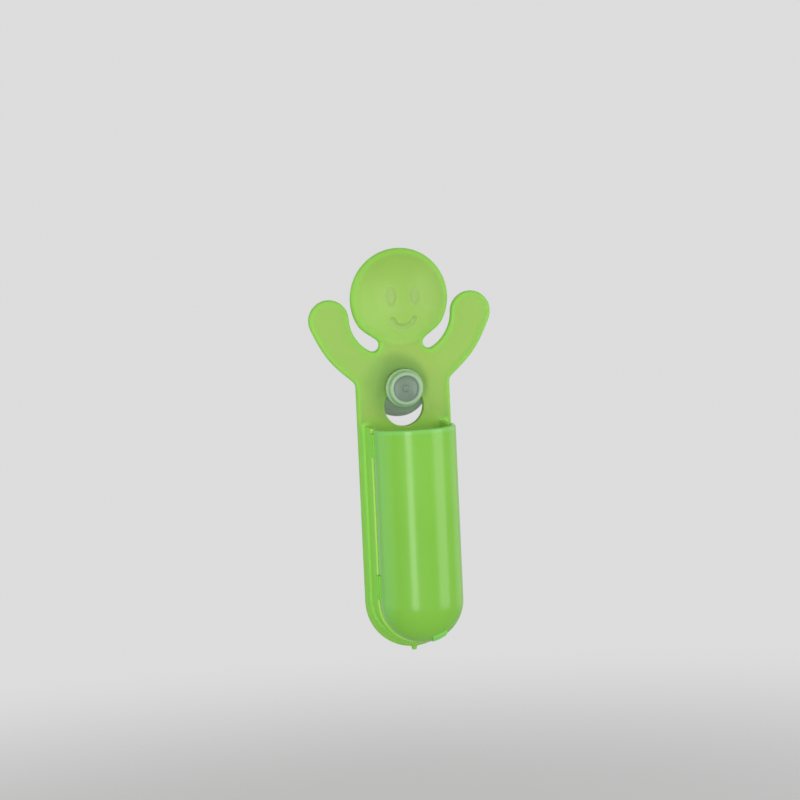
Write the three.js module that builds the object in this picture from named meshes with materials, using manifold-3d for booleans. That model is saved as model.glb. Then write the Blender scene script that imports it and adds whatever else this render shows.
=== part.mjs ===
// Suction toothbrush holder: a translucent figure plate whose lower half carries the back of a pocket,
// a front cover that closes the pocket on two moulded hinge straps, and a soft suction cup whose button
// hangs in the plate's keyhole.
// Millimetres. +Z is up, -Y is the front, and the origin is on the cup's axis at the wall.
import * as THREE from "three";
import { mergeVertices } from "three/addons/utils/BufferGeometryUtils.js";
import Module from "manifold-3d";

const degrees = THREE.MathUtils.degToRad;

// Clearances
const RUNNING_GAP = 0.3; // between pieces that slide or turn past each other
const SEAM_GAP = 0.3; // between the tray's edge and the cover's edge

// Suction cup, measured from the wall
const LIP_RADIUS = 9;
const LIP_WIDTH = 1.2; // flat sealing ring
const LIP_THICKNESS = 0.5;
const CUP_HOLLOW = 4; // depth of the hollow behind the sealing ring
const CUP_HEIGHT = 7.4; // wall to the shoulder behind the plate
const SHOULDER_RADIUS = 7.8;
const SHOULDER_THICKNESS = 1.2;
const NECK_RADIUS = 2.9;
const FLANGE_RADIUS = 5.55;
const FLANGE_THICKNESS = 1.2;
const BUTTON_RADIUS = 4.85; // raised ring on the flange
const BUTTON_HEIGHT = 2.2; // from the flange to the top of the ring
const RING_WIDTH = 1; // top of the ring, round the dished face
const DISH_DEPTH = 0.8;
const PIP_RADIUS = 1; // small mould mark in the middle of the dish
const PIP_HEIGHT = 0.3;

// Figure plate
const PLATE_THICKNESS = 2.2;
const TORSO_HALF_WIDTH = 13.9;
const PLATE_END_Z = -61.2; // centre of the round lower end
const ARMPIT_Z = 1.9;
const ARMPIT_ROUND = 2;
const SHOULDER_SLOPE = degrees(41);
const SHOULDER_BEND = 7; // handles of the arm's outer curve
const WRIST_BEND = 9;
const HAND_X = 21;
const HAND_Z = 20.6;
const HAND_RADIUS = 5.95;
const HAND_OUTER_ANGLE = degrees(-24); // where the arm's outer curve meets the hand
const INNER_ARM_BEND = 3.8; // handles of the arm's inner curve
const GAP_X = 8.3; // round end of the gap between arm and head
const GAP_Z = 12.7;
const GAP_RADIUS = 1.8;
const GAP_ARM_ANGLE = degrees(-63);
const GAP_HEAD_ANGLE = degrees(130);
const HEAD_Z = 25.8;
const HEAD_RADIUS = 14.4;
const CHIN_ANGLE = degrees(-30); // where the head's circle ends and the chin's curve starts
const CHIN_BEND = 2.25; // handles of the chin's curve, from the gap to the head
const GATE_WIDTH = 1.7; // moulding vestige at the lower end
const GATE_HEIGHT = 1.1;
const GATE_THICKNESS = 1.2;

// Keyhole
const KEYHOLE_DROP = 5.3; // from the neck's seat down to the centre of the wide hole

// Domed head and its engraved face
const DOME_RADIUS = 13.4; // at the plate's front face
const DOME_RISE = 4.6;
const DOME_WALL = 2;
const FACE_DEPTH = 0.5;
const EYE_SPACING = 7;
const EYE_WIDTH = 2.8;
const EYE_HEIGHT = 5.6;
const EYE_RISE = 1; // above the middle of the head
const SMILE_RADIUS = 3.4;
const SMILE_DROP = 4.65; // centre of the smile's arc, below the middle of the head
const SMILE_HALF_ANGLE = degrees(70);
const SMILE_WIDTH = 1.6;

// Pocket: the tray on the plate and the cover in front of it share one outline
const POCKET_HALF_WIDTH = 12;
const POCKET_TOP_Z = -10.3;
const ROUND_END_Z = -60.4; // centre of the pocket's round lower end
const TRAY_DEPTH = 8.3;
const TRAY_WALL = 1.5;
const COVER_SKIRT = 1.8; // straight part of the cover next to the seam
const COVER_BULGE = 8; // rounded part of the cover
const COVER_WALL = 1.5;

// Hinge straps on the left side, and the latch at the lower right
const STRAP_LENGTH = 6.8;
const STRAP_THICKNESS = 0.45;
const STRAP_LAP = 1.7; // on the tray and on the cover
const STRAP_TAPER = 0.4;
const STRAP_BOW = 0.85; // outer radius of the bow that bends
const STRAP_WEB = 0.5; // its wall
const UPPER_STRAP_Z = -15;
const LOWER_STRAP_Z = -55.8;
const LATCH_ANGLE = degrees(21); // from the bottom towards the right
const LATCH_WIDTH = 4.4;
const LATCH_LAP = 1.8; // into a notch in the tray's wall
const LATCH_REACH = 6.4; // on the cover
const LATCH_THICKNESS = 0.8;
const LATCH_STAND = 0.3; // how far it stands out from the walls

// Facets
const ARC_STEPS = 8;
const TURN_STEPS = 48;
const CUT = 1; // how far a cutter runs past what it cuts
const MERGE_DISTANCE = 1e-3;

// Planes that the pieces share
const PLATE_BACK = -(CUP_HEIGHT + RUNNING_GAP);
const PLATE_FRONT = PLATE_BACK - PLATE_THICKNESS;
const TRAY_EDGE = PLATE_FRONT - TRAY_DEPTH;
const COVER_EDGE = TRAY_EDGE - SEAM_GAP;
const LATCH_INNER = POCKET_HALF_WIDTH + LATCH_STAND - LATCH_THICKNESS; // from the round end's axis
const DOME_SPHERE = (DOME_RADIUS ** 2 + DOME_RISE ** 2) / (2 * DOME_RISE);
const DOME_CENTRE = PLATE_FRONT - DOME_RISE + DOME_SPHERE;

const wasm = await Module();
wasm.setup();

// A closed geometry as a solid that can be joined and cut.
function solid(geometry) {
  const bare = new THREE.BufferGeometry();
  bare.setAttribute("position", geometry.getAttribute("position"));
  bare.setIndex(geometry.index);
  const merged = mergeVertices(bare, MERGE_DISTANCE);
  const corners = merged.index.array;
  const triangles = [];
  for (let i = 0; i < corners.length; i += 3) {
    const [a, b, c] = corners.slice(i, i + 3);
    if (a !== b && b !== c && c !== a) triangles.push(a, b, c);
  }
  const vertProperties = merged.getAttribute("position").array;
  const triVerts = Uint32Array.from(triangles);
  return new wasm.Manifold(new wasm.Mesh({ numProp: 3, vertProperties, triVerts }));
}

// A shape drawn in X and Z, as thick as the space between two Y planes.
function frontal(shape, back, front) {
  const geometry = new THREE.ExtrudeGeometry(shape, {
    depth: back - front,
    bevelEnabled: false,
    curveSegments: ARC_STEPS,
  });
  return solid(geometry.rotateX(Math.PI / 2).translate(0, back, 0));
}

// A shape drawn in X and Y, as tall as the space between two Z planes.
function upright(shape, bottom, top) {
  const geometry = new THREE.ExtrudeGeometry(shape, {
    depth: top - bottom,
    bevelEnabled: false,
    curveSegments: ARC_STEPS,
  });
  return solid(geometry.translate(0, 0, bottom));
}

// A profile of [radius, y] points turned about a line along Y at height z.
function turned(profile, z) {
  const points = profile.map(([radius, y]) => new THREE.Vector2(radius, y));
  return solid(new THREE.LatheGeometry(points, TURN_STEPS).translate(0, 0, z));
}

function namedMesh(name, body, colour, roughness) {
  const { vertProperties, triVerts } = body.getMesh();
  const geometry = new THREE.BufferGeometry();
  geometry.setAttribute("position", new THREE.BufferAttribute(vertProperties, 3));
  geometry.setIndex(new THREE.BufferAttribute(triVerts, 1));
  geometry.computeVertexNormals();
  const material = new THREE.MeshStandardMaterial({ color: colour, roughness, metalness: 0 });
  const mesh = new THREE.Mesh(geometry, material);
  mesh.name = name;
  return mesh;
}

// Suction cup: dished button, flange, neck, shoulder, and a bell that thins out to the flat lip.
function suctionCup() {
  const flangeBack = PLATE_FRONT - RUNNING_GAP;
  const flangeFront = flangeBack - FLANGE_THICKNESS;
  const buttonFront = flangeFront - BUTTON_HEIGHT;
  const dish = buttonFront + DISH_DEPTH;
  const dishRadius = BUTTON_RADIUS - RING_WIDTH;
  const sealRadius = LIP_RADIUS - LIP_WIDTH;
  const shoulderBack = SHOULDER_THICKNESS - CUP_HEIGHT;
  const profile = [
    [0, dish - PIP_HEIGHT],
    [PIP_RADIUS, dish - PIP_HEIGHT],
    [PIP_RADIUS, dish],
    [dishRadius - RING_WIDTH / 2, dish],
    [dishRadius, buttonFront],
    [BUTTON_RADIUS, buttonFront],
    [BUTTON_RADIUS, flangeFront],
    [FLANGE_RADIUS, flangeFront],
    [FLANGE_RADIUS, flangeBack],
    [NECK_RADIUS, flangeBack],
    [NECK_RADIUS, -CUP_HEIGHT],
    [SHOULDER_RADIUS, -CUP_HEIGHT],
  ];
  const bell = new THREE.QuadraticBezierCurve(
    new THREE.Vector2(SHOULDER_RADIUS, shoulderBack),
    new THREE.Vector2(LIP_RADIUS, shoulderBack),
    new THREE.Vector2(LIP_RADIUS, -LIP_THICKNESS),
  );
  const hollow = new THREE.QuadraticBezierCurve(
    new THREE.Vector2(sealRadius, 0),
    new THREE.Vector2(sealRadius - CUP_HOLLOW / 2, -CUP_HOLLOW),
    new THREE.Vector2(0, -CUP_HOLLOW),
  );
  const outside = bell.getPoints(ARC_STEPS / 2);
  const inside = hollow.getPoints(ARC_STEPS / 2);
  const shell = [...outside, new THREE.Vector2(LIP_RADIUS, 0), ...inside];
  return turned([...profile, ...shell.map((p) => [p.x, p.y])], 0);
}

function onCircle(centre, radius, angle) {
  return new THREE.Vector2(Math.cos(angle), Math.sin(angle)).multiplyScalar(radius).add(centre);
}

// Step along a circle's anticlockwise tangent at an angle.
function heading(angle, length) {
  return new THREE.Vector2(-Math.sin(angle), Math.cos(angle)).multiplyScalar(length);
}

// Right half of the plate's outline, from the lower end up to the top of the head.
function rightOutline() {
  const slope = new THREE.Vector2(Math.cos(SHOULDER_SLOPE), Math.sin(SHOULDER_SLOPE));
  const armpit = new THREE.Vector2(TORSO_HALF_WIDTH, ARMPIT_Z);
  const shoulder = armpit.clone().addScaledVector(slope, ARMPIT_ROUND);
  const shoulderHandle = shoulder.clone().addScaledVector(slope, SHOULDER_BEND);
  const hand = new THREE.Vector2(HAND_X, HAND_Z);
  const wrist = onCircle(hand, HAND_RADIUS, HAND_OUTER_ANGLE);
  const wristHandle = wrist.clone().add(heading(HAND_OUTER_ANGLE, -WRIST_BEND));
  const gap = new THREE.Vector2(GAP_X, GAP_Z);
  const gapStart = onCircle(gap, GAP_RADIUS, GAP_ARM_ANGLE);
  const gapHandle = gapStart.clone().add(heading(GAP_ARM_ANGLE, INNER_ARM_BEND));
  const gapEnd = onCircle(gap, GAP_RADIUS, GAP_HEAD_ANGLE);
  const chinHandle = gapEnd.clone().add(heading(GAP_HEAD_ANGLE, -CHIN_BEND));
  const head = new THREE.Vector2(0, HEAD_Z);
  const jaw = onCircle(head, HEAD_RADIUS, CHIN_ANGLE);
  const jawHandle = jaw.clone().add(heading(CHIN_ANGLE, -CHIN_BEND));
  const path = new THREE.Path();
  path.absarc(0, PLATE_END_Z, TORSO_HALF_WIDTH, -Math.PI / 2, 0, false);
  path.lineTo(TORSO_HALF_WIDTH, ARMPIT_Z - ARMPIT_ROUND);
  path.quadraticCurveTo(armpit.x, armpit.y, shoulder.x, shoulder.y);
  path.bezierCurveTo(
    shoulderHandle.x, shoulderHandle.y, wristHandle.x, wristHandle.y, wrist.x, wrist.y,
  );
  path.absarc(HAND_X, HAND_Z, HAND_RADIUS, HAND_OUTER_ANGLE, Math.PI, false);
  path.bezierCurveTo(
    HAND_X - HAND_RADIUS, HAND_Z - INNER_ARM_BEND, gapHandle.x, gapHandle.y, gapStart.x, gapStart.y,
  );
  path.absarc(GAP_X, GAP_Z, GAP_RADIUS, GAP_ARM_ANGLE, GAP_HEAD_ANGLE, true);
  path.bezierCurveTo(chinHandle.x, chinHandle.y, jawHandle.x, jawHandle.y, jaw.x, jaw.y);
  path.absarc(0, HEAD_Z, HEAD_RADIUS, CHIN_ANGLE, Math.PI / 2, false);
  return path.getPoints(ARC_STEPS);
}

// Wide hole for the button, with a narrow seat for the neck above it.
function keyhole() {
  const holeRadius = FLANGE_RADIUS + RUNNING_GAP;
  const seatRadius = NECK_RADIUS + RUNNING_GAP;
  const mouth = Math.asin(seatRadius / holeRadius);
  const path = new THREE.Path();
  path.absarc(0, -KEYHOLE_DROP, holeRadius, Math.PI / 2 - mouth, Math.PI / 2 + mouth, true);
  path.absarc(0, 0, seatRadius, Math.PI, 0, true);
  path.closePath();
  return path;
}

// Spherical cap about the head's middle, from its pole back to a Y plane and on by a margin.
function headCap(sphere, plane, margin) {
  const reach = Math.acos((DOME_CENTRE - plane) / sphere);
  const profile = [];
  for (let i = 0; i <= ARC_STEPS; i++) {
    const angle = (reach * i) / ARC_STEPS;
    profile.push([sphere * Math.sin(angle), DOME_CENTRE - sphere * Math.cos(angle)]);
  }
  const rim = profile[ARC_STEPS][0];
  profile.push([rim, plane + margin], [0, plane + margin]);
  return turned(profile, HEAD_Z);
}

// Two oval eyes and a curved smile, sunk to an even depth in the dome.
function faceCut() {
  const deepest = PLATE_FRONT;
  const front = PLATE_FRONT - DOME_RISE - CUT;
  const eyeShapes = [-1, 1].map((side) => {
    const eye = new THREE.Shape();
    const x = (side * EYE_SPACING) / 2;
    eye.absellipse(x, HEAD_Z + EYE_RISE, EYE_WIDTH / 2, EYE_HEIGHT / 2, 0, 2 * Math.PI, false, 0);
    return eye;
  });
  const smile = new THREE.Shape();
  const smileZ = HEAD_Z - SMILE_DROP;
  const from = -Math.PI / 2 - SMILE_HALF_ANGLE;
  const to = -Math.PI / 2 + SMILE_HALF_ANGLE;
  const half = SMILE_WIDTH / 2;
  const tip = (angle) => [SMILE_RADIUS * Math.cos(angle), smileZ + SMILE_RADIUS * Math.sin(angle)];
  smile.absarc(0, smileZ, SMILE_RADIUS + half, from, to, false);
  smile.absarc(...tip(to), half, to, to + Math.PI, false);
  smile.absarc(0, smileZ, SMILE_RADIUS - half, to, from, true);
  smile.absarc(...tip(from), half, from - Math.PI, from, false);
  const floor = headCap(DOME_SPHERE - FACE_DEPTH, PLATE_FRONT, CUT);
  return [...eyeShapes, smile].map((shape) => frontal(shape, deepest, front).subtract(floor));
}

// Block that crosses the pocket's wall at the latch, outwards from a distance to the round end's axis.
function latchBlock(width, inner, back, front) {
  const outer = POCKET_HALF_WIDTH + CUT;
  const box = new THREE.BoxGeometry(width, back - front, outer - inner);
  box.translate(0, (back + front) / 2, -(outer + inner) / 2);
  return solid(box.rotateY(-LATCH_ANGLE).translate(0, 0, ROUND_END_Z));
}

// U-shaped wall of the tray, open at the top, with a notch for the latch.
function trayWall() {
  const inner = POCKET_HALF_WIDTH - TRAY_WALL;
  const wall = new THREE.Shape();
  wall.moveTo(-POCKET_HALF_WIDTH, POCKET_TOP_Z);
  wall.absarc(0, ROUND_END_Z, POCKET_HALF_WIDTH, Math.PI, 2 * Math.PI, false);
  wall.lineTo(POCKET_HALF_WIDTH, POCKET_TOP_Z);
  wall.lineTo(inner, POCKET_TOP_Z);
  wall.absarc(0, ROUND_END_Z, inner, 0, -Math.PI, true);
  wall.lineTo(-inner, POCKET_TOP_Z);
  wall.closePath();
  const notchWidth = LATCH_WIDTH + 2 * RUNNING_GAP;
  const notchFloor = LATCH_INNER - RUNNING_GAP;
  const notchBack = TRAY_EDGE + LATCH_LAP + RUNNING_GAP;
  const notch = latchBlock(notchWidth, notchFloor, notchBack, TRAY_EDGE - CUT);
  return frontal(wall, PLATE_FRONT + PLATE_THICKNESS / 2, TRAY_EDGE).subtract(notch);
}

function figurePlate() {
  const right = rightOutline();
  const left = right.slice(1, -1).reverse().map((p) => new THREE.Vector2(-p.x, p.y));
  const outline = new THREE.Shape([...right, ...left]);
  outline.holes.push(keyhole());
  const gateSize = [GATE_WIDTH, GATE_THICKNESS, 2 * GATE_HEIGHT];
  const gateZ = PLATE_END_Z - TORSO_HALF_WIDTH;
  const gate = new THREE.BoxGeometry(...gateSize).translate(0, PLATE_BACK - PLATE_THICKNESS / 2, gateZ);
  const dome = headCap(DOME_SPHERE, PLATE_FRONT, PLATE_THICKNESS / 2);
  const hollow = headCap(DOME_SPHERE - DOME_WALL, PLATE_BACK, CUT);
  let plate = frontal(outline, PLATE_BACK, PLATE_FRONT).add(dome).subtract(hollow);
  for (const cut of faceCut()) plate = plate.subtract(cut);
  return plate.add(trayWall()).add(solid(gate));
}

// A pocket-shaped dome: a straight run with a round lower end, bulging forward from an edge plane.
function pocketDome(halfWidth, edge, spring, bulge, top) {
  const quarter = [];
  for (let i = 0; i <= 2 * ARC_STEPS; i++) {
    const angle = (Math.PI / 2) * (i / (2 * ARC_STEPS));
    quarter.push([halfWidth * Math.sin(angle), spring - bulge * Math.cos(angle)]);
  }
  quarter[0][0] = 0;
  const roundEnd = turned([...quarter, [halfWidth, edge], [0, edge]], ROUND_END_Z);
  const half = [...quarter, [halfWidth, edge]].map(([x, y]) => new THREE.Vector2(x, y));
  const mirrored = half.slice(1).reverse().map((p) => new THREE.Vector2(-p.x, p.y));
  return upright(new THREE.Shape([...mirrored, ...half]), ROUND_END_Z, top).add(roundEnd);
}

// Cover: a shell with a latch, a raised pad whose lug laps back into the tray's notch.
function frontCover() {
  const spring = COVER_EDGE - COVER_SKIRT;
  const inner = POCKET_HALF_WIDTH - COVER_WALL;
  const innerBulge = COVER_BULGE - COVER_WALL;
  const latchRadius = POCKET_HALF_WIDTH + LATCH_STAND;
  const latchBulge = COVER_BULGE + LATCH_STAND;
  const latchBack = TRAY_EDGE + LATCH_LAP;
  const outside = pocketDome(POCKET_HALF_WIDTH, COVER_EDGE, spring, COVER_BULGE, POCKET_TOP_Z);
  const inside = pocketDome(inner, COVER_EDGE + CUT, spring, innerBulge, POCKET_TOP_Z + CUT);
  const raised = pocketDome(latchRadius, latchBack, spring, latchBulge, POCKET_TOP_Z);
  const pad = raised.intersect(latchBlock(LATCH_WIDTH, inner / 2, COVER_EDGE, COVER_EDGE - LATCH_REACH));
  const lug = raised.intersect(latchBlock(LATCH_WIDTH, LATCH_INNER, latchBack, COVER_EDGE - COVER_SKIRT));
  return outside.add(pad).subtract(inside).add(lug);
}

// Web on the outside of the left walls: a lap on the tray, a lap on the cover and a bow across the seam.
function hingeStrap(z) {
  const wall = -POCKET_HALF_WIDTH;
  const skin = wall - STRAP_THICKNESS;
  const back = TRAY_EDGE + STRAP_LAP;
  const front = COVER_EDGE - STRAP_LAP;
  const seam = (TRAY_EDGE + COVER_EDGE) / 2;
  const relief = STRAP_BOW - STRAP_WEB;
  const lean = Math.asin(STRAP_THICKNESS / STRAP_BOW);
  const section = new THREE.Shape();
  section.moveTo(wall, back);
  section.lineTo(skin, back - STRAP_TAPER);
  section.absarc(wall, seam, STRAP_BOW, Math.PI / 2 + lean, 1.5 * Math.PI - lean, false);
  section.lineTo(skin, front + STRAP_TAPER);
  section.lineTo(wall, front);
  section.absarc(wall, seam, relief, 1.5 * Math.PI, Math.PI / 2, true);
  section.closePath();
  return upright(section, z - STRAP_LENGTH / 2, z + STRAP_LENGTH / 2);
}

const LIME_FROSTED = 0x9dcd62;
const LIME_GLOSS = 0x87c650;
const CLEAR_PVC = 0xa0b9a5;

const holder = new THREE.Group();
holder.add(
  namedMesh("suction_cup", suctionCup(), CLEAR_PVC, 0.25),
  namedMesh("figure_plate", figurePlate(), LIME_FROSTED, 0.55),
  namedMesh("front_cover", frontCover(), LIME_GLOSS, 0.2),
  namedMesh("upper_hinge_strap", hingeStrap(UPPER_STRAP_Z), LIME_GLOSS, 0.3),
  namedMesh("lower_hinge_strap", hingeStrap(LOWER_STRAP_Z), LIME_GLOSS, 0.3),
);

export default holder;
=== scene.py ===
# Suction toothbrush holder: the fine pieces, their finishes and the studio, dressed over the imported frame.
import math
from collections import Counter

import bpy
import numpy as np
from mathutils import Matrix, Vector


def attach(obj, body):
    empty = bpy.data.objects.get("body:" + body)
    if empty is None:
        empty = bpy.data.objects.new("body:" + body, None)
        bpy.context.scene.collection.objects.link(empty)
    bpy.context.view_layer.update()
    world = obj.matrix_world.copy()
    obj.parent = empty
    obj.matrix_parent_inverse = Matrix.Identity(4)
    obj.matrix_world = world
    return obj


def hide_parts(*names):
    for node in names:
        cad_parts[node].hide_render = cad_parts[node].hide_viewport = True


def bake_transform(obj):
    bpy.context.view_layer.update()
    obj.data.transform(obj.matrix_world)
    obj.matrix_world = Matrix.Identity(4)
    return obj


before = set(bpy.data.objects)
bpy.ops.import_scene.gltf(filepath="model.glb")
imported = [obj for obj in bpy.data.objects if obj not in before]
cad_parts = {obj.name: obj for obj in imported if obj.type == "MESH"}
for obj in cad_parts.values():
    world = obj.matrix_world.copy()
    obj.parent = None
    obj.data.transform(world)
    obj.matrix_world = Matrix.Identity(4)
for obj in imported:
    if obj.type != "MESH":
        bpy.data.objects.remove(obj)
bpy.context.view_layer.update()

MM = 0.001
TINY = 1e-6
MERGE = 2e-6

# Sizes in millimetres, the main ones the same as the solids'. The front is -Y, and the origin is on the
# cup's axis at the wall. A place on the plate is given in X and Z.
PLATE_BACK = -7.7
PLATE_FRONT = -9.9
PLATE_EDGE_ROUND = 0.8
PLATE_VOXEL = 0.4
PLATE_END = (0, -61.2)
TORSO_HALF_WIDTH = 13.9
TORSO_HEIGHTS = range(-58, -1, 3)
ARMPIT = (13.9, 1.9)
ARMPIT_ROUND = 2
SHOULDER_SLOPE = math.radians(41)
SHOULDER_HANDLE = 7
HAND = (21, 20.6)
HAND_RADIUS = 5.95
HAND_OUTER_ANGLE = math.radians(-24)
WRIST_HANDLE = 9
ARM_HANDLE = 3.8
GAP = (8.3, 12.7)
GAP_RADIUS = 1.8
GAP_ARM_ANGLE = math.radians(-63)
GAP_HEAD_ANGLE = math.radians(-230)
HEAD = (0, 25.8)
HEAD_RADIUS = 14.4
HEAD_MARGIN = 0.4
CHIN_ANGLE = math.radians(-30)
JAW_HANDLE = 2.25
KEYHOLE_DROP = 5.3
KEYHOLE_RADIUS = 5.85
SEAT_RADIUS = 3.2
DOME_RADIUS = 13.4
DOME_RISE = 4.6
DOME_FOOT = 0.9
EYES = ((-3.5, 26.8), (3.5, 26.8))
EYE_HALF_SIZE = (1.4, 2.8)
SMILE = (0, 21.15)
SMILE_RADIUS = 3.4
SMILE_HALF_ANGLE = math.radians(70)
SMILE_HALF_WIDTH = 0.8
FACE_DEPTH = 0.5
FACE_HALF_WIDTH = 6.2
FACE_BOTTOM = 16.5
FACE_TOP = 30.5
GATE_ROOT_HALF_WIDTH = 0.9
GATE_TIP_HALF_WIDTH = 0.6
GATE_ROOT = 1
GATE_DROP = 1.1
GATE_BACK = -8.2
GATE_FRONT = -9.4
POCKET_HALF_WIDTH = 12
POCKET_TOP_Z = -10.3
POCKET_END = (0, -60.4)
POCKET_WALL = 1.5
TRAY_ROOT = 0.8
TRAY_EDGE = -18.2
TRAY_ROUND = 0.5
BEAD_STAND = 0.35
BEAD_DEPTH = 0.9
BEAD_ROOT = 0.4
BEAD_CHAMFER = 0.3
BEAD_INSET = 0.02
BEAD_ROUND = 0.14
COVER_EDGE = -18.5
COVER_EDGE_ROUND = 0.15
COVER_EDGE_FLAT = 0.4
COVER_RIM_ROUND = 0.5
COVER_SPRING = -20.3
COVER_BULGE = 8
COVER_LEVELS = (-50, -40, -30, -20, POCKET_TOP_Z - 2, POCKET_TOP_Z - 1.5, POCKET_TOP_Z - 1, POCKET_TOP_Z)
SEAM = (TRAY_EDGE + COVER_EDGE) / 2
STRAP_HEIGHTS = {"upper_hinge_strap": -15, "lower_hinge_strap": -55.8}
STRAP_LENGTH = 6.8
STRAP_BOW = 0.85
STRAP_RELIEF = 0.35
STRAP_THICKNESS = 0.45
STRAP_LAP = 1.7
STRAP_TAPER = 0.4
STRAP_ROUND = 0.12
LATCH_ANGLE = math.radians(21)
LATCH_WIDTH = 4.4
LATCH_LAP = 1.8
LATCH_REACH = 6.4
LATCH_THICKNESS = 0.8
LATCH_STAND = 0.3
LATCH_TOP = 4
LATCH_ROUND = 0.2
NOTCH_HEIGHT = 3
RUNNING_GAP = 0.3
CUTTER_MARGIN = 1
CUP_ROUND = 0.45

# Half section of the cup, as radius and Y, from the button's middle to the middle of the hollow.
CUP_BUTTON = [(0, -12.8), (0.8, -12.8), (1.1, -12.4), (3.5, -12.85), (3.9, -13.5), (4.35, -13.6),
              (4.85, -13.35)]
CUP_FLANGE = [(4.85, -11.4), (5.55, -11.4), (5.55, -10.2), (2.9, -10.2), (2.9, -7.4)]
CUP_BELL = [(7.8, -7.4), (8, -6.2), (8.5, -5.6), (8.8, -4.4), (8.95, -3), (9, -1.4), (9, -0.4), (8.9, 0),
            (7.8, 0)]
CUP_HOLLOW = [(7.2, -1.4), (6.2, -2.8), (4, -3.75), (0, -4)]

# Counts and angles of the modelling.
QUARTER_STEPS = 22
HALF_TURN_STEPS = 48
FULL_TURN_STEPS = 96
TRAY_STEPS = 40
FRONTAL = -0.5
SHARP = math.radians(50)

# Where each change of a finish starts and ends, in millimetres. The face's are shares of its own sizes.
EYE_FADE = (0.5, 1.2)
SMILE_FADE = (0.3, 1.3)
EDGE_GLOW = (0, 3.4)
TRAY_GLOW = (0.3, 2.2)
EDGE_PAINTED_MILK = (0.2, 2)
TRAY_PAINTED_MILK = (0.5, 1.8)
WALL_FOOT = (PLATE_FRONT - 1.2, PLATE_FRONT)
CLEAR_FADE = (5.5, 10)
FLOOR_SIDES = (11, 11.6)
FLOOR_TOP = (-10.5, -6)
FLOOR_FOOT = (-40, -13)
FLOOR_BACK = (PLATE_FRONT + 0.2, PLATE_FRONT + 0.8)
PAINTED_SEAM_GLOW_FADE = (TRAY_EDGE + 0.4, TRAY_EDGE + 0.9)
SLOPE_FADE = (-0.9, 0.6)
RIM_BAND = (0.7, 1.6)
PAINTED_REFLECTION_SIDE = (8.5, 11.8)
BELL_START = (-9, -7.8)
LIP_START = (8, 8.9)
RIDGE_START = (3.6, 3.85)
RIDGE_BACK = (-13, -12.5)
FLANGE_START = (4, 4.5)
FLANGE_BACK = (-9.9, -9.5)

# The clearer patch of the plate, and how strongly each mark tells.
CLEAR_PATCH = (1.5, 5)
CLEAR_SHARE = 0.28
EDGE_PAINTED_MILK_SHARE = 0.55
HOLE_SETBACK = 0.6
PAINTED_FLOOR_MILK_SHARE = 0.75
PAINTED_SEAM_GLOW_SHARE = 0.3
SLOPE_BASE = 0.35
SLOPE_LEAN = (0.3, 0.65)
PAINTED_REFLECTION_SHARE = 0.8


# Drawing

def arc(centre, radius, start, end, steps):
    angles = [start + (end - start) * i / steps for i in range(steps + 1)]
    return [(centre[0] + radius * math.cos(a), centre[1] + radius * math.sin(a)) for a in angles]


def curve(start, start_handle, end_handle, end, steps):
    """Points inside a curve from start to end, pulled towards two handles."""
    points = []
    for i in range(1, steps):
        t = i / steps
        weights = ((1 - t) ** 3, 3 * t * (1 - t) ** 2, 3 * t * t * (1 - t), t ** 3)
        corners = (start, start_handle, end_handle, end)
        points.append(tuple(sum(w * p[k] for w, p in zip(weights, corners)) for k in (0, 1)))
    return points


def along(point, angle, length):
    return (point[0] + length * math.cos(angle), point[1] + length * math.sin(angle))


def rounded(points, radius, steps=4):
    """An open line with each inner corner eased by a short curve."""
    eased = [points[0]]
    for before, corner, after in zip(points, points[1:], points[2:]):
        corner_at = Vector(corner)
        to_before = Vector(before) - corner_at
        to_after = Vector(after) - corner_at
        reach = min(radius, to_before.length * 0.49, to_after.length * 0.49)
        first = corner_at + to_before.normalized() * reach
        last = corner_at + to_after.normalized() * reach
        for i in range(steps + 1):
            t = i / steps
            point = first * (1 - t) ** 2 + corner_at * 2 * t * (1 - t) + last * t * t
            eased.append((point.x, point.y))
    return eased + [points[-1]]


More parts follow.
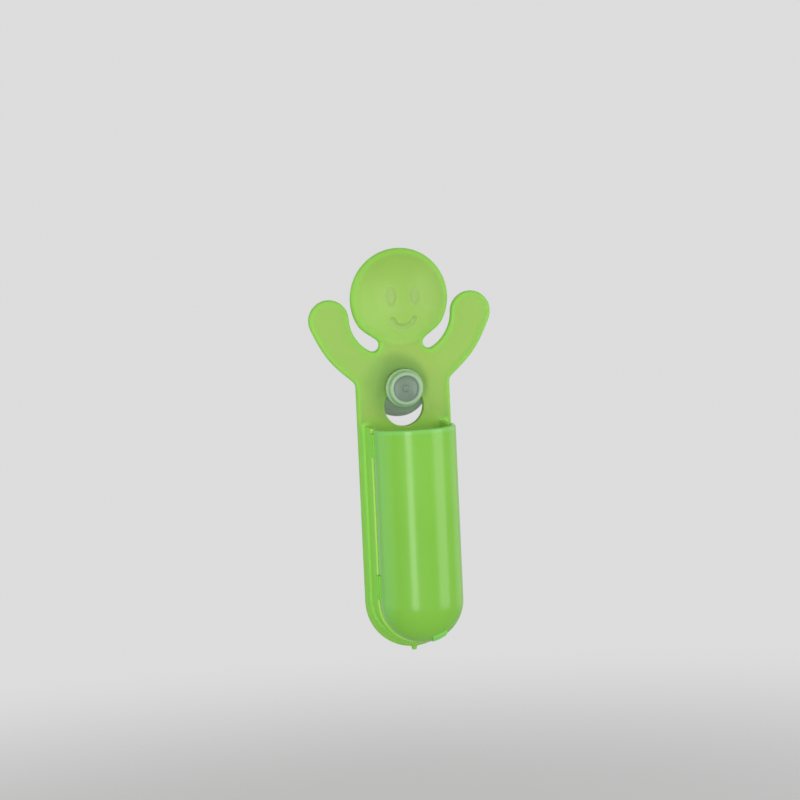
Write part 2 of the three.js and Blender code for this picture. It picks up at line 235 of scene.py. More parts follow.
def figure_outline():
    """Outline of the figure in X and Z: lower end, right side, arm, hand, head, and back down on the left."""
    hand_side = (HAND[0] - HAND_RADIUS, HAND[1])
    hand_side_handle = (hand_side[0], hand_side[1] - ARM_HANDLE)
    shoulder = along(ARMPIT, SHOULDER_SLOPE, ARMPIT_ROUND)
    shoulder_handle = along(shoulder, SHOULDER_SLOPE, SHOULDER_HANDLE)
    below_armpit = (ARMPIT[0], ARMPIT[1] - ARMPIT_ROUND)
    wrist = along(HAND, HAND_OUTER_ANGLE, HAND_RADIUS)
    wrist_handle = along(wrist, HAND_OUTER_ANGLE - math.pi / 2, WRIST_HANDLE)
    gap_start = along(GAP, GAP_ARM_ANGLE, GAP_RADIUS)
    gap_start_handle = along(gap_start, GAP_ARM_ANGLE + math.pi / 2, ARM_HANDLE)
    gap_end = along(GAP, GAP_HEAD_ANGLE, GAP_RADIUS)
    gap_end_handle = along(gap_end, GAP_HEAD_ANGLE - math.pi / 2, JAW_HANDLE)
    jaw = along(HEAD, CHIN_ANGLE, HEAD_RADIUS)
    jaw_handle = along(jaw, CHIN_ANGLE - math.pi / 2, JAW_HANDLE)
    right = arc(PLATE_END, TORSO_HALF_WIDTH, -math.pi / 2, 0, steps=18)
    right += [(TORSO_HALF_WIDTH, z) for z in TORSO_HEIGHTS]
    right += [below_armpit] + curve(below_armpit, ARMPIT, ARMPIT, shoulder, steps=5)
    right += [shoulder] + curve(shoulder, shoulder_handle, wrist_handle, wrist, steps=16)
    right += arc(HAND, HAND_RADIUS, HAND_OUTER_ANGLE, math.pi, steps=24)
    right += curve(hand_side, hand_side_handle, gap_start_handle, gap_start, steps=12)
    right += arc(GAP, GAP_RADIUS, GAP_ARM_ANGLE, GAP_HEAD_ANGLE, steps=10)
    right += curve(gap_end, gap_end_handle, jaw_handle, jaw, steps=8)
    right += arc(HEAD, HEAD_RADIUS, CHIN_ANGLE, math.pi / 2, steps=24)
    return right + [(-x, z) for x, z in right[-2:0:-1]]


def keyhole_outline():
    mouth = math.asin(SEAT_RADIUS / KEYHOLE_RADIUS)
    hole = arc((0, -KEYHOLE_DROP), KEYHOLE_RADIUS, math.pi / 2 - mouth, mouth - 1.5 * math.pi, steps=36)
    return hole + arc((0, 0), SEAT_RADIUS, math.pi, 0, steps=18)


def tray_line():
    """Outside of the tray's wall, from its upper left end round to its upper right end."""
    bottom = arc(POCKET_END, POCKET_HALF_WIDTH, math.pi, 2 * math.pi, TRAY_STEPS)
    return [(-POCKET_HALF_WIDTH, POCKET_TOP_Z)] + bottom + [(POCKET_HALF_WIDTH, POCKET_TOP_Z)]


# Modelling

def only(piece):
    bpy.ops.object.select_all(action="DESELECT")
    piece.select_set(True)
    bpy.context.view_layer.objects.active = piece


def everything(part):
    return True


def pick(piece, kind, test):
    """Opens a piece in edit mode with the vertices, edges or faces that pass a test selected."""
    only(piece)
    bpy.ops.object.mode_set(mode="EDIT")
    bpy.ops.mesh.select_mode(type=kind)
    bpy.ops.mesh.select_all(action="DESELECT")
    bpy.ops.object.mode_set(mode="OBJECT")
    parts = {"VERT": piece.data.vertices, "EDGE": piece.data.edges, "FACE": piece.data.polygons}[kind]
    for part in parts:
        part.select = test(part)
    bpy.ops.object.mode_set(mode="EDIT")


def close():
    bpy.ops.object.mode_set(mode="OBJECT")


def on_plane(piece, axis, *places):
    """Test for the edges or faces that lie in one of some planes across an axis."""
    def test(part):
        corners = [piece.data.vertices[i].co[axis] for i in part.vertices]
        return any(all(abs(corner - place * MM) < TINY for corner in corners) for place in places)
    return test


def border_of(piece, axis, place):
    """Test for the edges round the faces that lie in a plane, without the edges between those faces."""
    flat = on_plane(piece, axis, place)
    faces = Counter(key for face in piece.data.polygons if flat(face) for key in face.edge_keys)
    return lambda edge: faces[edge.key] == 1


def clean(piece):
    """Merges doubles and turns the faces outwards."""
    pick(piece, "VERT", everything)
    bpy.ops.mesh.remove_doubles(threshold=MERGE)
    bpy.ops.mesh.normals_make_consistent(inside=False)
    close()


def ring(name, places, filled):
    """A ring of vertices moved to the given places in millimetres, open or filled with one face."""
    bpy.ops.object.select_all(action="DESELECT")
    fill = "NGON" if filled else "NOTHING"
    bpy.ops.mesh.primitive_circle_add(vertices=len(places), radius=MM, fill_type=fill)
    piece = bpy.context.object
    piece.name = name
    piece.data.name = name
    for vertex, place in zip(piece.data.vertices, places):
        vertex.co = Vector(place) * MM
    return piece


def line(name, places):
    """An open chain of edges through the given places."""
    piece = ring(name, places, filled=False)
    last = len(places) - 1
    pick(piece, "EDGE", lambda e: set(e.vertices) == {0, last})
    bpy.ops.mesh.delete(type="EDGE")
    close()
    return piece


def extrude(piece, step):
    """Gives a flat face a thickness."""
    pick(piece, "FACE", everything)
    move = {"value": tuple(part * MM for part in step)}
    bpy.ops.mesh.extrude_region_move(TRANSFORM_OT_translate=move)
    close()
    clean(piece)


def slab(name, outline, back, front):
    """An outline in X and Z given the thickness between two Y planes."""
    piece = ring(name, [(x, back, z) for x, z in outline], filled=True)
    extrude(piece, (0, front - back, 0))
    return piece


def spin(piece, steps, angle, height):
    """Sweeps a section about a line that runs from front to back at a height."""
    pick(piece, "VERT", everything)
    bpy.ops.mesh.spin(steps=steps, angle=angle, center=(0, 0, height * MM), axis=(0, 1, 0))
    close()
    clean(piece)


def raise_edges(piece, level, height):
    """Extrudes the edges at one level up to another."""
    pick(piece, "EDGE", on_plane(piece, 2, level))
    bpy.ops.mesh.extrude_edges_move(TRANSFORM_OT_translate={"value": (0, 0, (height - level) * MM)})
    close()


def ease(piece, test, width, segments=3):
    """Rounds the edges that pass a test."""
    pick(piece, "EDGE", test)
    bpy.ops.mesh.bevel(offset=width * MM, segments=segments, affect="EDGES", clamp_overlap=False)
    close()


def trim(piece, place, outward):
    """Cuts away what lies beyond a plane."""
    pick(piece, "VERT", everything)
    bpy.ops.mesh.bisect(plane_co=Vector(place) * MM, plane_no=outward, clear_outer=True)
    close()


def apply_modifier(piece, kind, **settings):
    only(piece)
    bpy.ops.object.modifier_add(type=kind)
    modifier = piece.modifiers[-1]
    for key, value in settings.items():
        setattr(modifier, key, value)
    bpy.ops.object.modifier_apply(modifier=modifier.name)


def thicken(piece, thickness):
    apply_modifier(piece, "SOLIDIFY", thickness=thickness * MM, offset=-1, use_even_offset=True)


def soften(piece, width):
    """Rounds all the sharp edges."""
    apply_modifier(piece, "BEVEL", width=width * MM, segments=3, limit_method="ANGLE", angle_limit=SHARP)


def cut(piece, cutter):
    apply_modifier(piece, "BOOLEAN", operation="DIFFERENCE", object=cutter, solver="EXACT")
    bpy.data.objects.remove(cutter)


def join(pieces):
    bpy.ops.object.select_all(action="DESELECT")
    for piece in pieces:
        piece.select_set(True)
    bpy.context.view_layer.objects.active = pieces[0]
    bpy.ops.object.join()
    return pieces[0]


def smooth(piece, angle):
    only(piece)
    bpy.ops.object.shade_smooth_by_angle(angle=math.radians(angle))


def places_of(piece):
    flat = np.empty(len(piece.data.vertices) * 3, np.float32)
    piece.data.vertices.foreach_get("co", flat)
    return flat.reshape(-1, 3).astype(float) / MM


def move_to(piece, places):
    piece.data.vertices.foreach_set("co", (places * MM).astype(np.float32).ravel())
    piece.data.update()


def soft_step(low, high, value):
    t = np.clip((value - low) / (high - low), 0, 1)
    return t * t * (3 - 2 * t)


def mark(piece, name, values):
    """Stores a value for each vertex, for the finish."""
    layer = piece.data.attributes.new(name, "FLOAT", "POINT")
    layer.data.foreach_set("value", values.astype(np.float32))


# Figure plate

def dome_height(radius):
    """Rise of the head's dome, with an eased foot."""
    sphere = (DOME_RADIUS ** 2 + DOME_RISE ** 2) / (2 * DOME_RISE)
    cap = np.sqrt(np.maximum(sphere ** 2 - radius ** 2, 0)) - (sphere - DOME_RISE)
    mix = np.clip(0.5 + 0.5 * cap / DOME_FOOT, 0, 1)
    return cap * mix + DOME_FOOT * mix * (1 - mix)


def face_depth(x, z):
    """How far the eyes and the smile are sunk at a place on the head."""
    sunk = np.zeros_like(x)
    for eye_x, eye_z in EYES:
        across = np.hypot((x - eye_x) / EYE_HALF_SIZE[0], (z - eye_z) / EYE_HALF_SIZE[1])
        sunk = np.maximum(sunk, 1 - soft_step(*EYE_FADE, across))
    angle = np.arctan2(x - SMILE[0], SMILE[1] - z)
    nearest = np.clip(angle, -SMILE_HALF_ANGLE, SMILE_HALF_ANGLE)
    away_x = x - SMILE[0] - SMILE_RADIUS * np.sin(nearest)
    away_z = z - SMILE[1] + SMILE_RADIUS * np.cos(nearest)
    away = np.hypot(away_x, away_z) / SMILE_HALF_WIDTH
    return FACE_DEPTH * np.maximum(sunk, 1 - soft_step(*SMILE_FADE, away))


def near_line(piece, outline):
    """Distance in X and Z from each vertex to a closed outline."""
    places = places_of(piece)[:, (0, 2)]
    nearest = np.full(len(places), np.inf)
    starts = np.array(outline, float)
    steps = np.roll(starts, -1, axis=0) - starts
    for start, step in zip(starts, steps):
        t = np.clip((places - start) @ step / max(step @ step, 1e-12), 0, 1)
        nearest = np.minimum(nearest, np.hypot(*(places - start - t[:, None] * step).T))
    return nearest


def latch_notch():
    """Cutter for the notch in the tray's wall that takes the cover's latch."""
    half = LATCH_WIDTH / 2 + RUNNING_GAP
    floor = -(POCKET_HALF_WIDTH + LATCH_STAND - LATCH_THICKNESS - RUNNING_GAP)
    bottom = floor - NOTCH_HEIGHT
    corners = [(-half, bottom), (half, bottom), (half, floor), (-half, floor)]
    turn = Matrix.Rotation(LATCH_ANGLE, 2)
    outline = [tuple(turn @ Vector(corner) + Vector(POCKET_END)) for corner in corners]
    return slab("latch_notch", outline, TRAY_EDGE + LATCH_LAP + RUNNING_GAP, TRAY_EDGE - CUTTER_MARGIN)


def tray_wall():
    inner = POCKET_HALF_WIDTH - POCKET_WALL
    wall = tray_line() + [(inner, POCKET_TOP_Z)]
    wall += arc(POCKET_END, inner, 0, -math.pi, TRAY_STEPS) + [(-inner, POCKET_TOP_Z)]
    tray = slab("tray_wall", wall, PLATE_FRONT + TRAY_ROOT, TRAY_EDGE)
    ease(tray, on_plane(tray, 1, TRAY_EDGE), TRAY_ROUND)
    cut(tray, latch_notch())
    return tray


def gate_vestige():
    end = PLATE_END[1] - TORSO_HALF_WIDTH
    root, tip = end + GATE_ROOT, end - GATE_DROP
    outline = [(-GATE_ROOT_HALF_WIDTH, root), (GATE_ROOT_HALF_WIDTH, root),
               (GATE_TIP_HALF_WIDTH, tip), (-GATE_TIP_HALF_WIDTH, tip)]
    return slab("gate", outline, GATE_BACK, GATE_FRONT)


def mark_plate(plate, outline):
    """Marks for the finish, most of them painted light: a glow along the edges and the walls, light on the
    pocket's floor and the head's lower side, a glow at the seam, and the share of opaque milky plastic.
    """
    x, y, z = places_of(plate).T
    from_edge = near_line(plate, outline)
    from_hole = near_line(plate, keyhole_outline())
    from_tray = near_line(plate, tray_line() + tray_line()[-2:0:-1])
    wall = 1 - soft_step(*WALL_FOOT, y)
    # Painted glow: a saturated green painted along the outline, round the tray and over the tray's walls.
    painted_rim_light = np.maximum(1 - soft_step(*EDGE_GLOW, from_edge), 1 - soft_step(*TRAY_GLOW, from_tray))
    mark(plate, "painted_rim_light", np.maximum(painted_rim_light, wall))
    # Painted light: the pocket's floor just below its mouth, where the cover and the tray's walls shade it,
    # is painted brighter and milkier.
    floor = (1 - soft_step(*FLOOR_SIDES, np.abs(x))) * (1 - soft_step(*FLOOR_TOP, z))
    floor *= soft_step(*FLOOR_FOOT, z)
    floor *= 1 - soft_step(*FLOOR_BACK, y)
    mark(plate, "mouth", floor)
    # Painted light: the opaque milky share is raised along the edges, round the tray, on the walls and on the
    # pocket's floor so that they stay bright where shade falls, and lowered in a clearer patch over the cup.
    painted_light_milk = EDGE_PAINTED_MILK_SHARE - EDGE_PAINTED_MILK_SHARE * soft_step(*EDGE_PAINTED_MILK, np.minimum(from_edge, from_hole + HOLE_SETBACK))
    painted_light_milk = np.maximum(painted_light_milk, 1 - soft_step(*TRAY_PAINTED_MILK, from_tray))
    clearer = 1 - soft_step(*CLEAR_FADE, np.hypot(x - CLEAR_PATCH[0], z - CLEAR_PATCH[1]))
    painted_light_milk = np.maximum(np.maximum(painted_light_milk, wall), PAINTED_FLOOR_MILK_SHARE * floor)
    mark(plate, "painted_light_milk", painted_light_milk - CLEAR_SHARE * clearer)
    # Painted glow: a bright line painted along the tray's front edge at the seam.
    mark(plate, "seam", PAINTED_SEAM_GLOW_SHARE - PAINTED_SEAM_GLOW_SHARE * soft_step(*PAINTED_SEAM_GLOW_FADE, y))
    # Painted light: the lower, left part of the head's dome, which faces down into shade, is painted paler
    # towards its foot.
    across, up = x - HEAD[0], z - HEAD[1]
    away = np.hypot(across, up)
    painted_slope_light = (away / DOME_RADIUS) ** 2 * (1 - soft_step(*SLOPE_FADE, away - DOME_RADIUS))
    lean = (SLOPE_LEAN[1] * up + SLOPE_LEAN[0] * across) / np.maximum(away, 0.1)
    mark(plate, "painted_slope_light", painted_slope_light * np.clip(SLOPE_BASE - lean, 0, 1))


def raise_head(plate):
    """Raises the dome of the head and sinks the face into its front."""
    places = places_of(plate)
    x, y, z = places.T
    away = np.hypot(x - HEAD[0], z - HEAD[1])
    on_head = away < HEAD_RADIUS + HEAD_MARGIN
    in_front = y < (PLATE_BACK + PLATE_FRONT) / 2
    sunk = np.where(on_head & in_front, face_depth(x, z), 0)
    places[:, 1] = y - np.where(on_head, dome_height(away), 0) + sunk
    move_to(plate, places)
    mark(plate, "sunk", sunk / FACE_DEPTH)


def on_face(face):
    in_width = abs(face.center.x) < FACE_HALF_WIDTH * MM
    return face.normal.y < FRONTAL and in_width and FACE_BOTTOM * MM < face.center.z < FACE_TOP * MM


def figure_plate():
    outline = figure_outline()
    plate = slab("figure_plate_moulding", outline, PLATE_BACK, PLATE_FRONT)
    ease(plate, on_plane(plate, 1, PLATE_BACK, PLATE_FRONT), PLATE_EDGE_ROUND)
    cut(plate, slab("keyhole", keyhole_outline(), PLATE_BACK + CUTTER_MARGIN, PLATE_FRONT - CUTTER_MARGIN))
    plate = join([plate, tray_wall(), gate_vestige()])
    only(plate)
    plate.data.remesh_voxel_size = PLATE_VOXEL * MM
    bpy.ops.object.voxel_remesh()
    apply_modifier(plate, "SMOOTH", factor=0.5, iterations=3)
    pick(plate, "FACE", on_face)
    bpy.ops.mesh.subdivide(number_cuts=2)
    close()
    mark_plate(plate, outline)
    raise_head(plate)
    smooth(plate, angle=50)
    return plate


def glowing_seam_bead():
    """Thin bead round the outside of the tray's front edge, painted bright all over as a glow along the seam.
    """
    inner, outer = POCKET_HALF_WIDTH - BEAD_ROOT, POCKET_HALF_WIDTH + BEAD_STAND
    back, front = TRAY_EDGE + BEAD_DEPTH, TRAY_EDGE + BEAD_INSET
    section = [(-inner, back), (-POCKET_HALF_WIDTH, back), (-outer, back - BEAD_CHAMFER),
               (-outer, front), (-inner, front)]
    bead = ring("tray_seam_glow_bead", [(x, y, POCKET_END[1]) for x, y in section], filled=False)
    spin(bead, HALF_TURN_STEPS, math.pi, POCKET_END[1])
    raise_edges(bead, POCKET_END[1], POCKET_TOP_Z)
    pick(bead, "EDGE", on_plane(bead, 2, POCKET_TOP_Z))
    bpy.ops.mesh.fill()
    close()
    clean(bead)
    cut(bead, latch_notch())
    soften(bead, BEAD_ROUND)
    # Painted glow: the whole bead takes the bright seam colour and the opaque milky share.
    for name in ("seam", "painted_light_milk"):
        mark(bead, name, np.ones(len(bead.data.vertices)))
    smooth(bead, angle=40)
    return bead


# Pocket cover, hinge straps and suction cup

def pocket_sheet(name, half_width, edge, bulge, levels):
    """Sheet in the shape of the pocket's front: a straight run with a round lower end, bulging forward."""
    crown_to_side = [math.pi / 2 * i / QUARTER_STEPS for i in range(QUARTER_STEPS + 1)]
    section = [(-half_width * math.sin(a), COVER_SPRING - bulge * math.cos(a)) for a in crown_to_side]
    section += [(-half_width, edge - COVER_EDGE_FLAT), (-half_width, edge)]
    sheet = line(name, [(x, y, POCKET_END[1]) for x, y in section])
    spin(sheet, HALF_TURN_STEPS, math.pi, POCKET_END[1])
    for level, height in zip((POCKET_END[1], *levels), levels):
        raise_edges(sheet, level, height)
    clean(sheet)
    return sheet


def front_cover():
    cover = pocket_sheet("front_cover_shell", POCKET_HALF_WIDTH, COVER_EDGE, COVER_BULGE, COVER_LEVELS)
    thicken(cover, POCKET_WALL)
    ease(cover, border_of(cover, 2, POCKET_TOP_Z), COVER_RIM_ROUND, segments=4)
    ease(cover, border_of(cover, 1, COVER_EDGE), COVER_EDGE_ROUND, segments=2)
    x, _, z = places_of(cover).T
    # Painted light: a cooler glow painted along the cover's top edge and a painted reflection down its left
    # side.
    band = 1 - soft_step(*RIM_BAND, POCKET_TOP_Z - z)
    mark(cover, "painted_rim_light", np.maximum(band, PAINTED_REFLECTION_SHARE * soft_step(*PAINTED_REFLECTION_SIDE, -x)))
    smooth(cover, angle=40)
    return cover


def cover_latch():
    """Raised pad at the cover's lower right. Its lug laps back into the tray's notch."""
    latch = pocket_sheet("cover_latch_pad", POCKET_HALF_WIDTH + LATCH_STAND, TRAY_EDGE + LATCH_LAP,
                         COVER_BULGE + LATCH_STAND, [POCKET_END[1] + 1])
    middle = Vector((0, 0, POCKET_END[1]))
    down = Vector((math.sin(LATCH_ANGLE), 0, -math.cos(LATCH_ANGLE)))
    side = Vector((math.cos(LATCH_ANGLE), 0, math.sin(LATCH_ANGLE)))
    trim(latch, middle + side * LATCH_WIDTH / 2, side)
    trim(latch, middle - side * LATCH_WIDTH / 2, -side)
    trim(latch, middle + down * LATCH_TOP, -down)
    trim(latch, (0, COVER_EDGE - LATCH_REACH, 0), (0, -1, 0))
    thicken(latch, LATCH_THICKNESS)
    soften(latch, LATCH_ROUND)
    clean(latch)
    smooth(latch, angle=40)
    return latch


def hinge_strap(name, height):
    """Web across the seam, bowed outwards where it bends, with a relief groove inside."""
    wall = -POCKET_HALF_WIDTH
    skin = wall - STRAP_THICKNESS
    lean = math.asin(STRAP_THICKNESS / STRAP_BOW)
    back = TRAY_EDGE + STRAP_LAP
    front = COVER_EDGE - STRAP_LAP
    section = [(wall, back), (skin, back - STRAP_TAPER)]
    section += arc((wall, SEAM), STRAP_BOW, math.pi / 2 + lean, 1.5 * math.pi - lean, steps=20)
    section += [(skin, front + STRAP_TAPER), (wall, front)]
    section += arc((wall, SEAM), STRAP_RELIEF, 1.5 * math.pi, math.pi / 2, steps=14)
    bottom = height - STRAP_LENGTH / 2
    strap = ring(name + "_web", [(x, y, bottom) for x, y in section], filled=True)
    extrude(strap, (0, 0, STRAP_LENGTH))
    ease(strap, on_plane(strap, 2, bottom, bottom + STRAP_LENGTH), STRAP_ROUND, segments=2)
    smooth(strap, angle=40)
    return strap


def suction_cup():
    profile = rounded(CUP_BUTTON + CUP_FLANGE + CUP_BELL + CUP_HOLLOW, CUP_ROUND)
    cup = line("suction_cup_moulding", [(radius, y, 0) for radius, y in profile])
    spin(cup, FULL_TURN_STEPS, 2 * math.pi, height=0)
    x, y, z = places_of(cup).T
    away = np.hypot(x, z)
    # Painted light: the part of the cup behind the plate, in shade there, is painted paler than the button.
    mark(cup, "painted_bell_light", soft_step(*BELL_START, y))
    # Painted shade: a dark line painted along the cup's outer edge.
    mark(cup, "painted_lip_shade", soft_step(*LIP_START, away))
    # Painted highlight: the button's raised ring is painted pale.
    mark(cup, "painted_ridge_highlight", soft_step(*RIDGE_START, away) * (1 - soft_step(*RIDGE_BACK, y)))
    # Painted light: the wide ring round the button's foot is painted paler against the shade in the groove
    # beside the button.
    mark(cup, "painted_flange_light", soft_step(*FLANGE_START, away) * (1 - soft_step(*FLANGE_BACK, y)))
    smooth(cup, angle=50)
    return cup


# Finishes

MILKY_DARK, MILKY_LIGHT = (0.285, 0.57, 0.10, 1), (0.33, 0.62, 0.12, 1)
# Painted light on the head's lower side.
PAINTED_SLOPE_LIGHT = (0.40, 0.75, 0.19, 1)
# Painted glow along the plate's edges, round the tray and on its walls.
PAINTED_RIM_GLOW = (0.25, 0.61, 0.07, 1)
# Painted light on the shaded floor of the pocket.
PAINTED_FLOOR_LIGHT = (0.31, 0.64, 0.085, 1)
# Painted glow along the seam.
PAINTED_SEAM_GLOW = (0.39, 0.78, 0.095, 1)
MILKY_FACE = (0.36, 0.54, 0.20, 1)
CLEAR_DARK, CLEAR_LIGHT = (0.53, 0.68, 0.09, 1), (0.60, 0.73, 0.11, 1)
CLEAR_PAINTED_SLOPE_LIGHT = (0.69, 0.86, 0.16, 1)
CLEAR_FACE = (0.57, 0.66, 0.18, 1)
COVER_DARK, COVER_LIGHT = (0.191, 0.491, 0.041, 1), (0.22, 0.522, 0.058, 1)
# Painted glow and painted reflection on the cover.
COVER_PAINTED_RIM_LIGHT = (0.21, 0.572, 0.118, 1)
STRAP_DARK, STRAP_LIGHT = (0.175, 0.52, 0.045, 1), (0.195, 0.56, 0.055, 1)
LATCH_DARK, LATCH_LIGHT = (0.185, 0.60, 0.08, 1), (0.21, 0.65, 0.095, 1)
VINYL_DARK, VINYL_LIGHT = (0.16, 0.23, 0.17, 1), (0.26, 0.35, 0.27, 1)
# Painted highlight, painted light and painted shade on the cup.
VINYL_PAINTED_HIGHLIGHT = (0.44, 0.59, 0.45, 1)
VINYL_PAINTED_FLANGE_LIGHT = (0.41, 0.64, 0.345, 1)
VINYL_PAINTED_BELL_LIGHT = (0.34, 0.47, 0.33, 1)
VINYL_PAINTED_LIP_SHADE = (0.09, 0.15, 0.10, 1)


class Signal:
    """A value inside a finish. Arithmetic on it adds Math nodes."""

    def __init__(self, finish, socket):
        self.finish = finish
        self.socket = socket

    def maths(self, operation, first, second):
        return self.finish.node("ShaderNodeMath", {"operation": operation}, {0: first, 1: second})

    def __add__(self, other):
        return self.maths("ADD", self, other)

    def __radd__(self, other):
        return self.maths("ADD", other, self)

    def __mul__(self, other):
        return self.maths("MULTIPLY", self, other)

    def __rmul__(self, other):
        return self.maths("MULTIPLY", other, self)


class Finish:
    """A material or the world, built from nodes."""

    def __init__(self, owner):
        owner.use_nodes = True
        self.tree = owner.node_tree
        self.tree.nodes.clear()

    def node(self, kind, settings, inputs, output=0):
        node = self.tree.nodes.new(kind)
        for key, value in settings.items():
            setattr(node, key, value)
        for key, value in inputs.items():
            if isinstance(value, Signal):
                self.tree.links.new(value.socket, node.inputs[key])
            else:
                node.inputs[key].default_value = value
        return Signal(self, node.outputs[output]) if node.outputs else None

    def mix(self, factor, first, second):
        return self.node("ShaderNodeMix", {"data_type": "RGBA"}, {0: factor, 6: first, 7: second}, 2)

    def place(self):
        return self.node("ShaderNodeTexCoord", {}, {}, "Object")

    def layer(self, name):
        return self.node("ShaderNodeAttribute", {"attribute_name": name}, {}, "Fac")

    def noise(self, scale, detail, roughness=0.5):
        sockets = {"Vector": self.place(), "Scale": scale, "Detail": detail, "Roughness": roughness}
        return self.node("ShaderNodeTexNoise", {}, sockets)

    def bump(self, height, strength, distance):
        return self.node("ShaderNodeBump", {}, {"Height": height, "Strength": strength, "Distance": distance})

    def plastic(self, sockets):
        return self.node("ShaderNodeBsdfPrincipled", {}, sockets)

    def blend(self, factor, first, second):
        return self.node("ShaderNodeMixShader", {}, {0: factor, 1: first, 2: second})

    def surface(self, shader):
        self.node("ShaderNodeOutputMaterial", {}, {"Surface": shader})


def frosted_lime():
    """Matt translucent plate: faint clouds, a painted glow along its edges and seam, painted light on the
    head's lower side and the pocket's floor, duller in the sunk face, and milkier where light is painted on
    the walls, edges and pocket floor."""
    material = bpy.data.materials.new("frosted_lime")
    finish = Finish(material)
    clouds = finish.noise(scale=70, detail=3)
    sunk = finish.layer("sunk") * 0.6
    painted_slope_light = finish.layer("painted_slope_light")
    milk = finish.mix(clouds, MILKY_DARK, MILKY_LIGHT)
    # Painted light: the head's lower side, the glow along edges and walls, the pocket's floor and the seam.
    milk = finish.mix(painted_slope_light, milk, PAINTED_SLOPE_LIGHT)
    milk = finish.mix(finish.layer("painted_rim_light") * 0.9, milk, PAINTED_RIM_GLOW)
    milk = finish.mix(finish.layer("mouth"), milk, PAINTED_FLOOR_LIGHT)
    milk = finish.mix(finish.layer("seam"), milk, PAINTED_SEAM_GLOW)
    milk = finish.mix(sunk, milk, MILKY_FACE)
    tint = finish.mix(clouds, CLEAR_DARK, CLEAR_LIGHT)
    tint = finish.mix(painted_slope_light, tint, CLEAR_PAINTED_SLOPE_LIGHT)
    tint = finish.mix(sunk, tint, CLEAR_FACE)
    grain = finish.noise(scale=2600, detail=3, roughness=0.6)
    look = {"Roughness": 0.36 + clouds * 0.12, "IOR": 1.47, "Specular IOR Level": 0.3,
            "Normal": finish.bump(grain, strength=0.25, distance=0.00004)}
    clear = finish.plastic({**look, "Base Color": tint, "Transmission Weight": 1})
    milky = finish.plastic({**look, "Base Color": milk})
    # Painted light: where painted_light_milk is high the plate turns opaque and milky and stays bright in
    # shade.
    finish.surface(finish.blend(0.5 + finish.layer("painted_light_milk") * 0.5, clear, milky))
    return material


def glossy_lime(name, dark, light, roughness, shine, through):
    """Glossy moulding: faint clouds, a cooler green painted where a piece carries painted_rim_light (on the
    cover, a painted glow along its top edge and a painted reflection down its left side), and a slight
    ripple.
    """
    material = bpy.data.materials.new(name)
    finish = Finish(material)
    clouds = finish.noise(scale=55, detail=2)
    body = finish.mix(clouds, dark, light)
    ripple = finish.noise(scale=160, detail=2)
    finish.surface(finish.plastic({
        "Base Color": finish.mix(finish.layer("painted_rim_light") * 0.8, body, COVER_PAINTED_RIM_LIGHT),
        "Roughness": roughness + clouds * 0.07, "IOR": 1.49, "Specular IOR Level": shine,
        "Transmission Weight": through, "Normal": finish.bump(ripple, strength=0.1, distance=0.0002)}))
    return material


def clear_vinyl():
    """Smoky clear vinyl with small clouds, a painted highlight on the button's raised ring, painted light on
    the wide ring round its foot and on the cup's back part, and painted shade along the cup's outer edge.
    """
    material = bpy.data.materials.new("clear_vinyl")
    finish = Finish(material)
    clouds = finish.noise(scale=220, detail=3)
    smoke = finish.mix(clouds, VINYL_DARK, VINYL_LIGHT)
    smoke = finish.mix(finish.layer("painted_ridge_highlight"), smoke, VINYL_PAINTED_HIGHLIGHT)
    smoke = finish.mix(finish.layer("painted_flange_light"), smoke, VINYL_PAINTED_FLANGE_LIGHT)
    smoke = finish.mix(finish.layer("painted_bell_light"), smoke, VINYL_PAINTED_BELL_LIGHT)
    smoke = finish.mix(finish.layer("painted_lip_shade") * 0.9, smoke, VINYL_PAINTED_LIP_SHADE)
    ripple = finish.noise(scale=400, detail=2)
    finish.surface(finish.plastic({
        "Base Color": smoke, "Roughness": 0.18 + clouds * 0.10, "IOR": 1.5, "Specular IOR Level": 0.35,
        "Transmission Weight": 0.35, "Normal": finish.bump(ripple, strength=0.12, distance=0.0001)}))
    return material


def dress(piece, material):
    piece.data.materials.clear()
    piece.data.materials.append(material)


# Studio, in metres and watts

SOFTBOX_AZIMUTH = -8
SOFTBOX_DISTANCE = 1.2
SOFTBOX_SIZE = (1.2, 0.8)
SOFTBOX_HEIGHTS_AND_POWERS = {"front_softbox": (0.15, 2.5), "low_softbox": (-0.6, 5)}
STRIP_AIM = (0, 0, -0.03)
STRIP_LENGTH = 0.9
WHITE, COOL = (1, 1, 1), (0.77, 1, 0.7)
# Azimuth, distance, width, power and colour of each strip lamp.
STRIPS = {
    "front_strip": (-12, 1.1, 0.24, 3, WHITE),
    "right_strip": (47, 1.0, 0.42, 3, WHITE),
    "far_right_strip": (100, 1.0, 0.6, 1.2, WHITE),
    "left_strip": (-84, 1.0, 1.2, 2.8, COOL),
}
PALE = (0.72, 0.72, 0.72, 1)
UNSEEN_STRENGTH = 0.8
SEEN_GAIN = 0.2
FLOOR_SIZE = 2
FLOOR_HEIGHT = -0.14
FLOOR_FADE = (0.1, 0.4)
CAMERA_AZIMUTH = math.radians(-14.75)
CAMERA_ELEVATION = math.radians(6.4)
CAMERA_ROLL = math.radians(2.6)
CAMERA_AIM = Vector((-1.22, -10, -3.48)) * MM
CAMERA_DISTANCE = 1600 * MM
WIDTH_IN_VIEW = 229.56 * MM
SENSOR_WIDTH = 36
NEAREST_IN_VIEW = 0.01


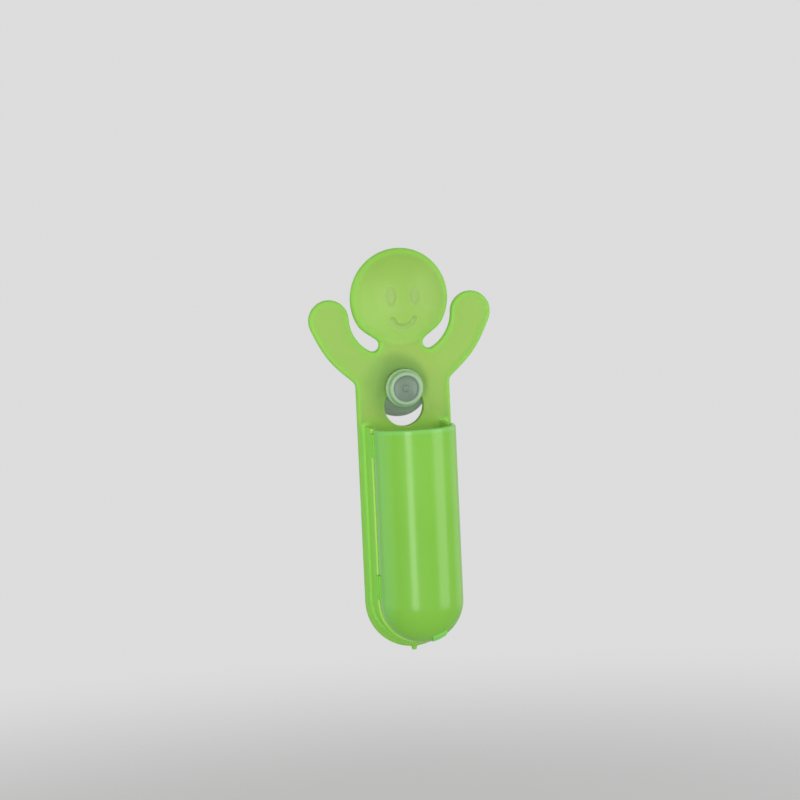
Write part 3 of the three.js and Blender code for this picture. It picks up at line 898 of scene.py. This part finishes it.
def add_camera():
    flat, rise = math.cos(CAMERA_ELEVATION), math.sin(CAMERA_ELEVATION)
    back = Vector((flat * math.sin(CAMERA_AZIMUTH), -flat * math.cos(CAMERA_AZIMUTH), rise))
    level = Vector((math.cos(CAMERA_AZIMUTH), math.sin(CAMERA_AZIMUTH), 0))
    upright = back.cross(level)
    across = level * math.cos(CAMERA_ROLL) - upright * math.sin(CAMERA_ROLL)
    up = level * math.sin(CAMERA_ROLL) + upright * math.cos(CAMERA_ROLL)
    data = bpy.data.cameras.new("camera")
    data.sensor_width = SENSOR_WIDTH
    data.lens = data.sensor_width * CAMERA_DISTANCE / WIDTH_IN_VIEW
    data.clip_start = NEAREST_IN_VIEW
    camera = bpy.data.objects.new("camera", data)
    bpy.context.scene.collection.objects.link(camera)
    place = Matrix.Translation(CAMERA_AIM + back * CAMERA_DISTANCE)
    camera.matrix_world = place @ Matrix((across, up, back)).transposed().to_4x4()
    bpy.context.scene.camera = camera


def around(azimuth, distance, height):
    angle = math.radians(azimuth)
    return (distance * math.sin(angle), -distance * math.cos(angle), height)


def add_lamp(name, place, aim, size, watts):
    data = bpy.data.lights.new(name, "AREA")
    data.shape = "RECTANGLE"
    data.size, data.size_y = size
    data.energy = watts
    lamp = bpy.data.objects.new(name, data)
    bpy.context.scene.collection.objects.link(lamp)
    lamp.location = place
    lamp.rotation_euler = (Vector(aim) - Vector(place)).to_track_quat("-Z", "Y").to_euler()
    return lamp


def add_lamps():
    for name, (height, watts) in SOFTBOX_HEIGHTS_AND_POWERS.items():
        place = around(SOFTBOX_AZIMUTH, SOFTBOX_DISTANCE, height)
        softbox = add_lamp(name, place, (0, 0, 0), SOFTBOX_SIZE, watts)
        softbox.visible_glossy = False
    for name, (azimuth, distance, width, watts, colour) in STRIPS.items():
        strip = add_lamp(name, around(azimuth, distance, 0), STRIP_AIM, (width, STRIP_LENGTH), watts)
        strip.data.color = colour


def add_backdrop():
    """Pale world, a little brighter where it is seen, reflected or looked at through a piece."""
    world = bpy.data.worlds.new("studio")
    bpy.context.scene.world = world
    finish = Finish(world)
    rays = ("Is Camera Ray", "Is Glossy Ray", "Is Transmission Ray")
    camera, glossy, through = [finish.node("ShaderNodeLightPath", {}, {}, ray) for ray in rays]
    clamped = {"operation": "ADD", "use_clamp": True}
    seen = finish.node("ShaderNodeMath", clamped, {0: camera + glossy, 1: through})
    strength = UNSEEN_STRENGTH + seen * SEEN_GAIN
    backdrop = finish.node("ShaderNodeBackground", {}, {"Color": PALE, "Strength": strength})
    finish.node("ShaderNodeOutputWorld", {}, {"Surface": backdrop})


def add_floor():
    """Pale floor that fades out away from the holder."""
    bpy.ops.object.select_all(action="DESELECT")
    bpy.ops.mesh.primitive_plane_add(size=FLOOR_SIZE, location=(0, 0, FLOOR_HEIGHT))
    floor = bpy.context.object
    floor.name = "floor"
    material = bpy.data.materials.new("pale_floor")
    finish = Finish(material)
    away = finish.node("ShaderNodeVectorMath", {"operation": "LENGTH"}, {0: finish.place()}, "Value")
    fade = finish.node("ShaderNodeMapRange", {"interpolation_type": "SMOOTHSTEP"},
                       {"Value": away, "From Min": FLOOR_FADE[0], "From Max": FLOOR_FADE[1]})
    matt = finish.node("ShaderNodeBsdfDiffuse", {}, {"Color": PALE})
    clear = finish.node("ShaderNodeBsdfTransparent", {}, {})
    finish.surface(finish.blend(fade, matt, clear))
    dress(floor, material)


# Making

frosted = frosted_lime()
gloss = glossy_lime("glossy_lime", COVER_DARK, COVER_LIGHT, roughness=0.15, shine=0.38, through=0.15)
strap_gloss = glossy_lime("strap_lime", STRAP_DARK, STRAP_LIGHT, roughness=0.3, shine=0.15, through=0)
latch_gloss = glossy_lime("latch_lime", LATCH_DARK, LATCH_LIGHT, roughness=0.25, shine=0.2, through=0)
vinyl = clear_vinyl()

plate = figure_plate()
dress(plate, frosted)
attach(plate, "holder")
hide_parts("figure_plate")

bead = glowing_seam_bead()
dress(bead, frosted)
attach(bead, "holder")

cover = front_cover()
dress(cover, gloss)
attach(cover, "cover")
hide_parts("front_cover")

latch = cover_latch()
dress(latch, latch_gloss)
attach(latch, "cover")

for name, height in STRAP_HEIGHTS.items():
    strap = hinge_strap(name, height)
    dress(strap, strap_gloss)
    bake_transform(strap)
    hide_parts(name)

cup = suction_cup()
dress(cup, vinyl)
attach(cup, "cup")
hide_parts("suction_cup")

add_camera()
add_lamps()
add_backdrop()
add_floor()
bpy.context.scene.view_settings.view_transform = "Standard"
